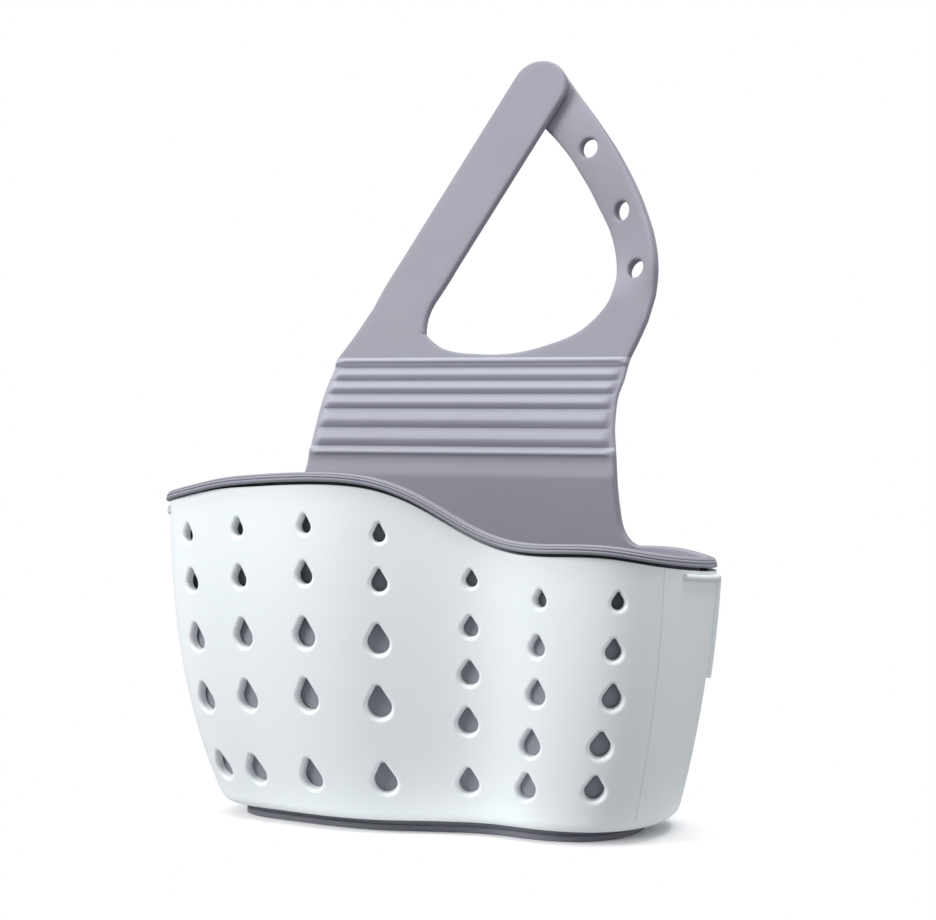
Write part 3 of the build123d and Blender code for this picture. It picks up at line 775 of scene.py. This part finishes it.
# Strap panel and fold ribs: cross sections stacked up the strap. Edges as x and height, from the top down.
LEFT_EDGE = [
    (-41.0, FOLD_END), (-41.8, 110.3), (-43.0, 106.9), (-44.1, 103.5), (-45.1, 99.8), (-46.2, 95.0),
    (-47.3, 90.3), (-47.9, 85.2), (-48.8, 81.8), (-50.6, 79.0),
]
RIGHT_EDGE = [
    (37.7, FOLD_END), (37.2, 110.3), (36.5, 106.9), (35.4, 103.5), (34.9, 99.8), (34.7, 95.0),
    (35.0, 90.3), (35.5, 81.0), (36.3, 74.2), (37.7, 69.2), (39.9, 66.8), (45.0, 65.6),
]
PANEL_BOTTOM = 60.0
PANEL_FRONT = 11.36
PANEL_THINNING = (82.5, 87.5)
HIDDEN_BELOW = 78.6
HIDDEN_LEFT = -44.0
SECTION_EDGE = 0.7
SECTION_INNER = (0.0, 0.5, 1.0, 1.6, 2.3, 3.1, 4.0, 6.0, 10.0)
SECTION_MIDDLE = 14.0
EDGE_FADE = 2.2
RIB_RISE = 1.15
RIB_PEAK_SHARE = 0.4
RIB_UP_POWER = 1.8
RIB_DOWN_POWER = 1.5
FLAT_RISE = 0.9
FLAT_RUN = (1.2, 1.3)
FLAT_POWER = 2.4
BORDER_LINES = (88.9, 111.75)
BORDER_RISE = 0.5
BORDER_HALF_WIDTH = 0.5
BACK_FACING = 0.3
BLEND_MARGIN = 0.15


def edge_samples(points):
    at, length = natural_spline(points)
    return at(np.linspace(0, length, 800))[::-1]


left_samples = edge_samples(LEFT_EDGE)
right_samples = edge_samples(RIGHT_EDGE)


def strap_edges(h):
    return tuple(float(np.interp(h, side[:, 1], side[:, 0])) for side in (left_samples, right_samples))


def flat_rise(distance, run, border):
    """Rise of the flat zones at a distance from the fold zone, with their border line."""
    step = min(1, distance / run)
    line = BORDER_RISE * math.exp(-((border / BORDER_HALF_WIDTH) ** 4))
    return FLAT_RISE * (1 - (1 - step) ** FLAT_POWER) + line


def ridge_rise(h):
    """How far the strap's face stands in front of the web at this height."""
    if h <= HINGES[0]:
        return flat_rise(HINGES[0] - h, FLAT_RUN[0], h - BORDER_LINES[0])
    if h >= HINGES[-1]:
        return flat_rise(h - HINGES[-1], FLAT_RUN[1], h - BORDER_LINES[1])
    i = max(k for k in range(len(HINGES)) if HINGES[k] <= h)
    q = (h - HINGES[i]) / (HINGES[i + 1] - HINGES[i])
    if q < RIB_PEAK_SHARE:
        return RIB_RISE * (1 - ((RIB_PEAK_SHARE - q) / RIB_PEAK_SHARE) ** RIB_UP_POWER)
    return RIB_RISE * (1 - ((q - RIB_PEAK_SHARE) / (1 - RIB_PEAK_SHARE)) ** RIB_DOWN_POWER)


def section(h):
    """Cross section of the flat strap at height h, as one closed loop from the front left."""
    left, right = strap_edges(h)
    if h < HIDDEN_BELOW:
        left = HIDDEN_LEFT
    rise = ridge_rise(h)
    thin_low, thin_high = PANEL_THINNING
    thick = (STRAP_FRONT - PANEL_FRONT) * (1 - float(smooth((h - thin_low) / (thin_high - thin_low))))
    r = SECTION_EDGE
    pts = []
    inner = np.array(SECTION_INNER)
    middle = np.linspace(left + SECTION_MIDDLE, right - SECTION_MIDDLE, 22)
    across = np.r_[left + r + inner, middle, right - r - inner[::-1]]
    for x in across:
        edge = min(x - left, right - x)
        fade = float(smooth((edge - r) / EDGE_FADE))
        base = FLAT_RISE * float(smooth(HINGES[0] - h) + smooth(h - HINGES[-1]))
        pts.append((x, WEB_FRONT - (base + (rise - base) * fade) - thick))
    front_left, front_right = pts[0][1], pts[-1][1]
    quarter = np.linspace(0, HALF_PI, 5)
    for a in quarter[1:]:
        pts.append((right - r + r * math.sin(a), front_right + r * (1 - math.cos(a))))
    for a in quarter:
        pts.append((right - r * (1 - math.cos(a)), STRAP_BACK - r + r * math.sin(a)))
    for x in np.linspace(right - r, left + r, 24)[1:-1]:
        pts.append((x, STRAP_BACK))
    for a in quarter:
        pts.append((left + r * (1 - math.sin(a)), STRAP_BACK - r + r * math.cos(a)))
    for a in quarter[:-1]:
        pts.append((left + r * (1 - math.cos(a)), front_left + r - r * math.sin(a)))
    return [(x, y, h) for x, y in pts]


def stack(name, low, high, step, body, material):
    """A length of the strap between two heights. Its back has the plain rubber of the arms."""
    hs = list(np.arange(low, high - step / 2, step)) + [high]
    mesh = Mesh()
    mesh.grid(lean(np.array([section(h) for h in hs])), wrap=True)
    obj = mesh.build(name, material, body, angle=STRAP_SHARP_ANGLE)
    obj.data.materials.append(soft_mat)
    for face in obj.data.polygons:
        # Forward faces keep the given material, which on the fold strips is the painted highlight copy; back
        # faces take the plain rubber.
        face.material_index = int(face.normal.y > BACK_FACING)
    return obj


stack("back_panel", PANEL_BOTTOM, MIDS[0], 0.4, "basket", soft_mat)
chain = ["basket", "rib_1", "rib_2", "rib_3", "rib_4", "rib_5", "yoke"]
for i in range(len(HINGES)):
    # The fold strips wear the painted highlight copy of the rubber on their front.
    strip = stack("fold_strip_%d" % (i + 1), MIDS[i], MIDS[i + 1], 0.12, None, lit_rib_mat)
    start = lean(np.array([0.0, STRAP_BACK, MIDS[i] + BLEND_MARGIN])) * MM
    end = lean(np.array([0.0, STRAP_BACK, MIDS[i + 1] - BLEND_MARGIN])) * MM
    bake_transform(strip)
    if chain[i + 1] != "yoke":
        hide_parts("fold_rib_%d" % (i + 1))


# Flat plates with rounded edges: the yoke and both arms
PLATE_EDGE = 0.8
ARM_EDGE = 0.7
PLATE_GRID = 1.6
PLATE_MARGIN = 0.6
OUTLINE_STEP = 0.8
RUN_STEP = 1.0
ARM_STEP = 0.9
LEAST_COSINE = 0.35


def resample(points, step):
    """Points about a step apart along a chain of points."""
    points = np.asarray(points, float)
    d = np.r_[0, np.cumsum(np.hypot(*np.diff(points, axis=0).T))]
    n = max(2, int(round(d[-1] / step)) + 1)
    s = np.linspace(0, d[-1], n)
    return np.column_stack([np.interp(s, d, points[:, 0]), np.interp(s, d, points[:, 1])])


def curve(points, step=OUTLINE_STEP):
    """Points about a step apart along the smooth curve through points."""
    at, length = natural_spline(points)
    return resample(at(np.linspace(0, length, 300)), step)


def chain_offset(points, amount, before, after, closed=False):
    """The chain moved to its left; its ends slide along the cut lines."""
    if closed:
        t = np.roll(points, -1, 0) - np.roll(points, 1, 0)
    else:
        t = np.gradient(points, axis=0)
    t /= np.linalg.norm(t, axis=1, keepdims=True)
    n = np.column_stack([-t[:, 1], t[:, 0]])
    if not closed:
        for end, cut in ((0, before), (-1, after)):
            c = np.asarray(cut, float)
            c = c / np.linalg.norm(c)
            n[end] = c / max(LEAST_COSINE, float(c @ n[end]))
    return points + n * amount


def plate(name, chains, holes, mapper, body, r=PLATE_EDGE):
    """A flat plate inside the closed row of chains, with holes and rounded edges, put in place by mapper."""
    mesh = Mesh()
    rings = [(r * (1 - math.sin(a)), r * (1 - math.cos(a))) for a in np.linspace(0, HALF_PI, 5)]
    rings += [(o, STRAP_THICKNESS - d) for o, d in rings[::-1]]
    count = len(chains)
    outline = []
    for i, c in enumerate(chains):
        after = chains[(i + 1) % count][0] - c[-1]
        before = chains[i - 1][-1] - c[0]
        rows = [(chain_offset(c, o, before, after), d) for o, d in rings]
        mesh.grid(np.array([mapper(q, d) for q, d in rows]))
        outline.append(rows[0][0])
    loop = []
    for i, c in enumerate(outline):
        loop += list(c)
        nxt = outline[(i + 1) % count][0]
        gap = resample([c[-1], nxt], PLATE_GRID)
        loop += list(gap[1:-1])
    loop = np.array(loop)
    hole_loops = []
    for h in holes:
        rows = [(chain_offset(h, o, None, None, True), d) for o, d in rings]
        mesh.grid(np.array([mapper(q, d) for q, d in rows]), wrap=True)
        hole_loops.append(rows[0][0])
    low, high = loop.min(0), loop.max(0)
    gx, gy = np.meshgrid(np.arange(low[0], high[0], PLATE_GRID), np.arange(low[1], high[1], PLATE_GRID))
    p, tri = fill(loop, hole_loops, np.column_stack([gx.ravel(), gy.ravel()]), PLATE_MARGIN)
    mesh.add(mapper(p, 0.0), tri)
    mesh.add(mapper(p, STRAP_THICKNESS), tri[:, ::-1])
    return mesh.build(name, soft_mat, body, angle=STRAP_SHARP_ANGLE)


def flat_map(q, depth):
    """Plate points of x and height, at a depth behind the front face, to their resting place."""
    q = np.asarray(q, float)
    return lean(np.column_stack([q[:, 0], np.full(len(q), STRAP_FRONT + depth), q[:, 1]]))


def front_point(x, h):
    return lean(np.array([x, STRAP_FRONT, h])) * MM


# Yoke: from the fold zone to where both arms are cut off
stud = np.array(STUD)
root_left, root_right = np.array([-30.2, 132.3]), np.array([-17.2, 125.5])
cut_left, cut_right = (-32.6, 126.7), (-17.5, 119.2)
hole_cut_left, hole_cut_right = (28.2, 123.4), (41.35, 122.3)
yoke_left, yoke_right = strap_edges(FOLD_END)
left_line = curve([cut_left, (-37.4, 118.2), (yoke_left, FOLD_END)])
right_line = curve([(yoke_right, FOLD_END), (39.7, 117.6), hole_cut_right])
window = curve([
    hole_cut_left, (24.4, 119.9), (17.0, 116.4), (7.0, 113.9), (-4.0, 113.8), (-13.2, 115.8), cut_right,
])
yoke_obj = plate("yoke_skin", [left_line, right_line, window], [], flat_map, "yoke")
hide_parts("strap_yoke")

# Left arm
ARM_STARTS = (1.0, 6.0, 14.0)
ARM_BEND = (-4.5, 7.0)
root = (root_left + root_right) / 2
along = (stud - root) / np.linalg.norm(stud - root)
side = np.array([along[1], -along[0]])
tip = [stud + TIP_RADIUS * (side * math.cos(a) + along * math.sin(a)) for a in np.linspace(0, math.pi, 24)]
arm_right = curve([cut_right, (-17.6, 122.4)] + [root_right + along * d for d in ARM_STARTS])
arm_left = curve([root_left + along * d for d in ARM_STARTS[:0:-1]] + [root_left, cut_left])
right_run = resample([arm_right[-1], tip[0]], RUN_STEP)
left_run = resample([tip[-1], arm_left[0]], RUN_STEP)
arm_chain = np.concatenate([arm_right[:-1], right_run[:-1], tip[:-1], left_run[:-1], arm_left])
button_obj = plate("button_arm_skin", [arm_chain], [], flat_map, None)
start, end = (front_point(*(root + along * d)) for d in ARM_BEND)
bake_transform(button_obj)
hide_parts("button_arm")

# Right arm with its holes: stations give outer x and height, inner x and height, twist, step back
STATIONS = np.array([
    (42.45, 127.50, 30.90, 127.50, 0.00, 0.00), (42.72, 129.10, 31.50, 129.10, 0.15, 0.00),
    (42.72, 130.61, 32.10, 131.39, 0.60, 0.11), (42.55, 133.31, 32.60, 133.79, 1.70, 0.27),
    (42.11, 136.85, 32.69, 135.86, 3.10, 0.50), (41.41, 140.38, 32.38, 138.52, 3.80, 0.87),
    (40.33, 144.32, 31.67, 141.68, 4.10, 1.37), (38.84, 148.58, 30.46, 145.32, 4.10, 1.97),
    (37.45, 151.86, 29.25, 148.15, 3.95, 2.36), (36.01, 155.25, 27.69, 151.05, 3.70, 2.59),
    (34.36, 158.77, 25.84, 154.14, 3.40, 2.73), (32.37, 162.55, 23.83, 157.55, 3.05, 2.80),
    (30.41, 166.07, 21.79, 160.84, 2.70, 2.80), (28.06, 170.08, 19.33, 164.32, 2.30, 2.80),
    (25.41, 174.09, 16.78, 167.90, 1.85, 2.80), (22.80, 177.94, 14.10, 171.06, 1.30, 2.80),
    (19.73, 182.13, 11.17, 174.17, 0.65, 2.80), (16.85, 186.00, 8.20, 177.00, 0.00, 2.80),
    (14.05, 189.80, 4.90, 180.10, 0.00, 2.80), (11.75, 192.95, 1.70, 182.90, 0.00, 2.80),
])
TWIST = np.array([0.344, -0.902, -0.262])
DENSE = 500
SMOOTHING = 31
ARM_REACH = 10.5
FAR_OFF = 1000.0
BEYOND_ENDS = 1.0
ARM_MIDDLE_HEIGHT = 140.0
FREE_BORES = ((37.4, 136.35), (31.85, 153.15), (21.1, 171.0))
CAP_RADIUS = 6.65
CAP_BULGE = 0.92
CAP_ANGLE = math.pi / 4
HOLE_ARM_BEND = (124.0, 132.0)
HOLE_ARM_BEND_X = 36.0
station_t = np.linspace(0, len(STATIONS) - 1, DENSE)
dense = np.column_stack([np.interp(station_t, range(len(STATIONS)), column) for column in STATIONS.T])
kernel = np.hanning(SMOOTHING) / np.hanning(SMOOTHING).sum()
for k in range(dense.shape[1]):
    padded = np.pad(dense[:, k], SMOOTHING // 2, mode="reflect", reflect_type="odd")
    dense[:, k] = np.convolve(padded, kernel, mode="valid")
half = (dense[:, 0:2] - dense[:, 2:4]) / 2
mid = (dense[:, 0:2] + dense[:, 2:4]) / 2
half_w = np.linalg.norm(half, axis=1)
across_2d = half / half_w[:, None]
along_2d = np.column_stack([-across_2d[:, 1], across_2d[:, 0]])
mid_3d = np.column_stack([mid[:, 0], dense[:, 5], mid[:, 1]])
across_3d = np.column_stack([half[:, 0], np.zeros(DENSE), half[:, 1]]) + dense[:, 4:5] * TWIST
along_3d = np.gradient(mid_3d, axis=0)
face_n = np.cross(across_3d, along_3d)
face_n /= np.linalg.norm(face_n, axis=1, keepdims=True)


def hole_map(q, depth):
    """Plate points of the right arm to their place on its twisted, stepped back centre line."""
    q = np.asarray(q, float)
    out = np.empty((len(q), 3))
    for i, v in enumerate(q):
        d = v - mid
        off = np.abs((d * along_2d).sum(1)) + FAR_OFF * (np.hypot(d[:, 0], d[:, 1]) > ARM_REACH)
        k = int(np.argmin(off))
        if off[k] > BEYOND_ENDS:
            k = 0 if v[1] < ARM_MIDDLE_HEIGHT else len(mid) - 1
        b = float(d[k] @ across_2d[k]) / half_w[k]
        base = np.array([v[0], (STRAP_FRONT + STRAP_BACK) / 2 + dense[k, 5], v[1]])
        out[i] = base + b * dense[k, 4] * TWIST + face_n[k] * (STRAP_THICKNESS / 2 - depth)
    return lean(out)


def bore_loop(x, h, radius):
    """A loop in the plate's plan that the twist turns into a round bore."""
    k = int(np.argmin(np.hypot(mid[:, 0] - x, mid[:, 1] - h)))
    a3 = np.array([across_2d[k, 0], 0, across_2d[k, 1]]) + dense[k, 4] / half_w[k] * TWIST
    t3 = np.array([along_2d[k, 0], 0, along_2d[k, 1]])
    skew = float(a3 @ t3)
    clear = np.linalg.norm(a3 - skew * t3)
    a = np.linspace(0, -2 * math.pi, 40, endpoint=False)
    alpha = radius * np.cos(a) / clear
    beta = radius * np.sin(a) - alpha * skew
    return np.array([x, h]) + alpha[:, None] * across_2d[k] + beta[:, None] * along_2d[k]


def cap_radius(a):
    """The arm's end round the stud, fuller towards CAP_ANGLE so that it shows past the left tip."""
    return CAP_RADIUS + CAP_BULGE * max(0.0, math.cos(a - CAP_ANGLE)) ** 2


outer = curve([hole_cut_right] + [tuple(r[:2]) for r in STATIONS], ARM_STEP)
cap_angles = np.linspace(CAP_ANGLE, CAP_ANGLE + math.pi, 20)
cap = [stud + cap_radius(a) * np.array([math.cos(a), math.sin(a)]) for a in cap_angles]
inner = curve([tuple(r[2:4]) for r in STATIONS[::-1]] + [hole_cut_left], ARM_STEP)
hole_chain = np.concatenate([outer[:-1], cap[:-1], inner])
bores = [bore_loop(x, h, BORE_RADIUS) for x, h in (*FREE_BORES, STUD)]
hole_obj = plate("hole_arm_skin", [hole_chain], bores, hole_map, None, r=ARM_EDGE)
start, end = (lean(np.array([HOLE_ARM_BEND_X, STRAP_BACK, h])) * MM for h in HOLE_ARM_BEND)
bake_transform(hole_obj)
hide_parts("hole_arm")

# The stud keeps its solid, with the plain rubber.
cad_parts["snap_button"].data.materials.clear()
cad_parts["snap_button"].data.materials.append(soft_mat)

# Floor, which fades out round the object's shadow, world and lights
FLOOR_SIZE = 6.0
SHADOW_PATCH = (13.0, 20.0, 0.0)
bpy.ops.mesh.primitive_plane_add(size=FLOOR_SIZE, location=(0, 0, 0))
floor = bpy.context.object
floor.name = "floor"
floor_mat, nt, bsdf = new_material("pale_floor")
bsdf.inputs["Base Color"].default_value = (0.93, 0.93, 0.935, 1)
bsdf.inputs["Roughness"].default_value = 0.9
bsdf.inputs["Specular IOR Level"].default_value = 0.1
coord = nt.nodes.new("ShaderNodeTexCoord")
stretch = nt.nodes.new("ShaderNodeVectorMath")
stretch.operation = "MULTIPLY"
stretch.inputs[1].default_value = SHADOW_PATCH
nt.links.new(coord.outputs["Object"], stretch.inputs[0])
spread = nt.nodes.new("ShaderNodeVectorMath")
spread.operation = "LENGTH"
nt.links.new(stretch.outputs["Vector"], spread.inputs[0])
fade = ramp(nt, spread.outputs["Value"], 0.7, 1.0, (0, 0, 0, 1), (1, 1, 1, 1))
clear = nt.nodes.new("ShaderNodeBsdfTransparent")
edge = nt.nodes.new("ShaderNodeMixShader")
nt.links.new(fade.outputs["Color"], edge.inputs[0])
nt.links.new(bsdf.outputs[0], edge.inputs[1])
nt.links.new(clear.outputs[0], edge.inputs[2])
nt.links.new(edge.outputs[0], nt.nodes["Material Output"].inputs[0])
floor.data.materials.append(floor_mat)

world = bpy.data.worlds.new("world")
bpy.context.scene.world = world
world.use_nodes = True
nt = world.node_tree
background = nt.nodes["Background"]
background.inputs["Color"].default_value = (0.93, 0.96, 1.0, 1)
background.inputs["Strength"].default_value = 0.44
white = nt.nodes.new("ShaderNodeBackground")
white.inputs["Color"].default_value = (1, 1, 1, 1)
white.inputs["Strength"].default_value = 1.0
path = nt.nodes.new("ShaderNodeLightPath")
mix = nt.nodes.new("ShaderNodeMixShader")
nt.links.new(path.outputs["Is Camera Ray"], mix.inputs[0])
nt.links.new(background.outputs[0], mix.inputs[1])
nt.links.new(white.outputs[0], mix.inputs[2])
nt.links.new(mix.outputs[0], nt.nodes["World Output"].inputs[0])


def area(name, place, target, size, power):
    """A square area light."""
    light = bpy.data.lights.new(name, "AREA")
    light.shape = "RECTANGLE"
    light.size = light.size_y = size
    light.energy = power
    obj = bpy.data.objects.new(name, light)
    bpy.context.scene.collection.objects.link(obj)
    obj.location = place
    aim = Vector(target) - Vector(place)
    obj.rotation_euler = aim.to_track_quat("-Z", "Y").to_euler()


OBJECT_MIDDLE = (0, 0, 0.08)
area("key", place=(-1.02, -0.92, 0.7), target=OBJECT_MIDDLE, size=0.6, power=19.5)
area("top", place=(0.1, 0.0, 1.5), target=(0, 0, 0), size=1.4, power=28)
area("fill", place=(1.2, -0.4, 0.4), target=OBJECT_MIDDLE, size=0.8, power=3.2)

# Camera at the photo's angle, level, with its picture shifted up or down instead of a tilt
PHOTO_WIDTH = 936
FOCAL_PIXELS = 2400
SHIFT_PIXELS = -70
SENSOR = 36.0
CAMERA_BACK = 0.580
CAMERA_RIGHT = 0.0061
CAMERA_BASE = (0, -0.0145, 0.1047)
turn = math.radians(20.134)
forward = Vector((-math.sin(turn), math.cos(turn), 0))
right = Vector((math.cos(turn), math.sin(turn), 0))
camera_data = bpy.data.cameras.new("camera")
camera = bpy.data.objects.new("camera", camera_data)
bpy.context.scene.collection.objects.link(camera)
camera.location = -CAMERA_BACK * forward + CAMERA_RIGHT * right + Vector(CAMERA_BASE)
camera.rotation_euler = (math.radians(90), 0, turn)
camera_data.sensor_fit = "HORIZONTAL"
camera_data.sensor_width = SENSOR
camera_data.lens = SENSOR * FOCAL_PIXELS / PHOTO_WIDTH
camera_data.shift_y = SHIFT_PIXELS / PHOTO_WIDTH
camera_data.clip_start = 0.01
bpy.context.scene.camera = camera

scene = bpy.context.scene
scene.view_settings.view_transform = "Standard"
